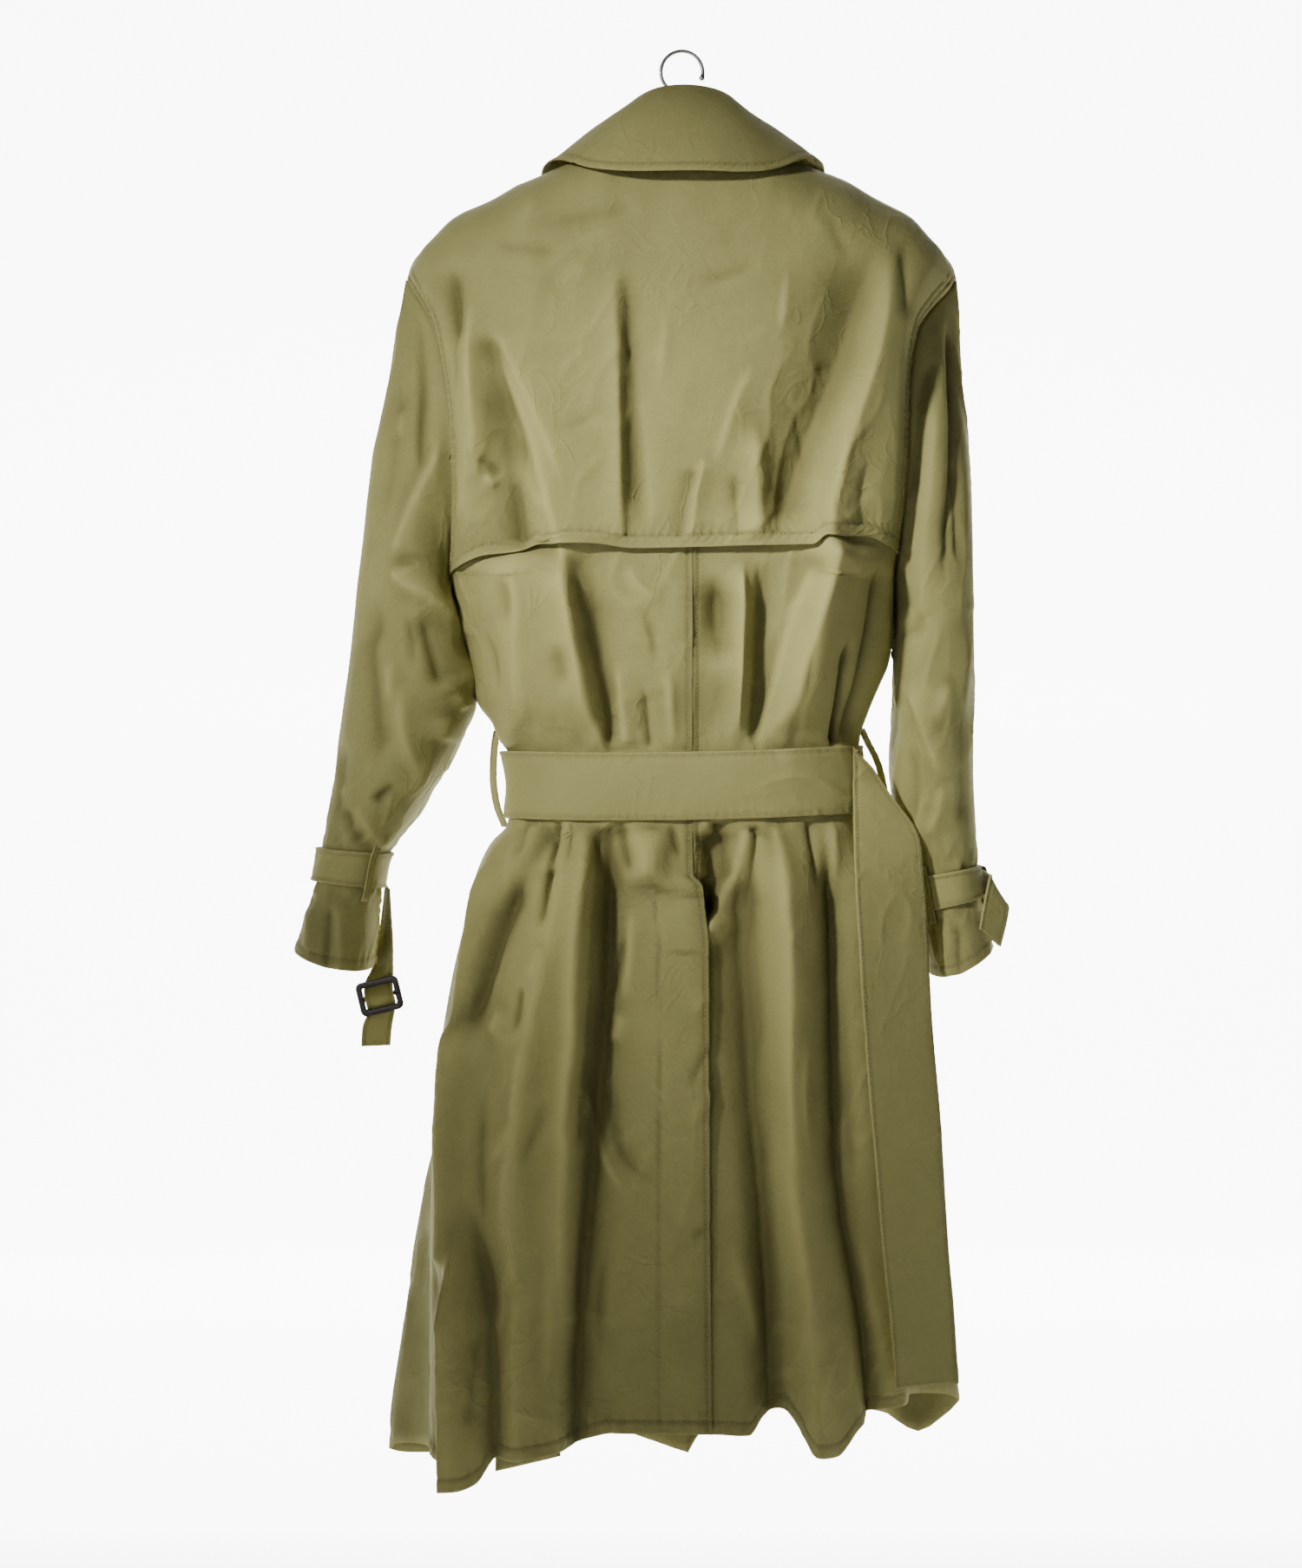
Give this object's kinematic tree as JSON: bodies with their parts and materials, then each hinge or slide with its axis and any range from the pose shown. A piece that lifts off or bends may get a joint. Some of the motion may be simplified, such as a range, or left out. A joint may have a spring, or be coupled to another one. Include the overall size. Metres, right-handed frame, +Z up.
{
  "type": "trench coat on a hanger",
  "caption": "Long belted trench coat hanging on a plain hanger, with a storm flap across the back, a turned-down collar, a centre vent, belted cuffs and a loose tie belt",
  "frame": {"origin": "the inside top of the hanger's hook, where the rail carries it", "axes": "+Z up, +Y out of the coat's back, +X to the wearer's left"},
  "size_m": [0.599, 0.2443, 1.2172],
  "materials": {
    "cloth": "matte",
    "slider": "satin",
    "button": "satin",
    "hanger": "satin",
    "hook": "polished"
  },
  "bodies": {
    "root": {"back_left": "cloth", "back_right": "cloth", "storm_flap": "cloth", "front_left": "cloth", "front_right": "cloth", "lapel_left": "cloth", "lapel_right": "cloth", "collar_stand": "cloth", "collar_fall": "cloth", "sleeve_left": "cloth", "sleeve_right": "cloth", "cuff_strap_left": "cloth", "cuff_strap_right": "cloth", "cuff_loop_left": "cloth", "cuff_loop_right": "cloth", "cuff_strap_end_left": "cloth", "cuff_strap_end_right": "cloth", "belt_waist": "cloth", "belt_end_right": "cloth", "belt_end_left": "cloth", "belt_loop_left": "cloth", "belt_loop_right": "cloth", "slider_left": "slider", "slider_right": "slider", "button_1": "button", "button_2": "button", "button_3": "button", "button_4": "button", "button_5": "button", "button_6": "button", "hanger_bar": "hanger", "hanger_hook": "hook"}
  },
  "joints": []
}
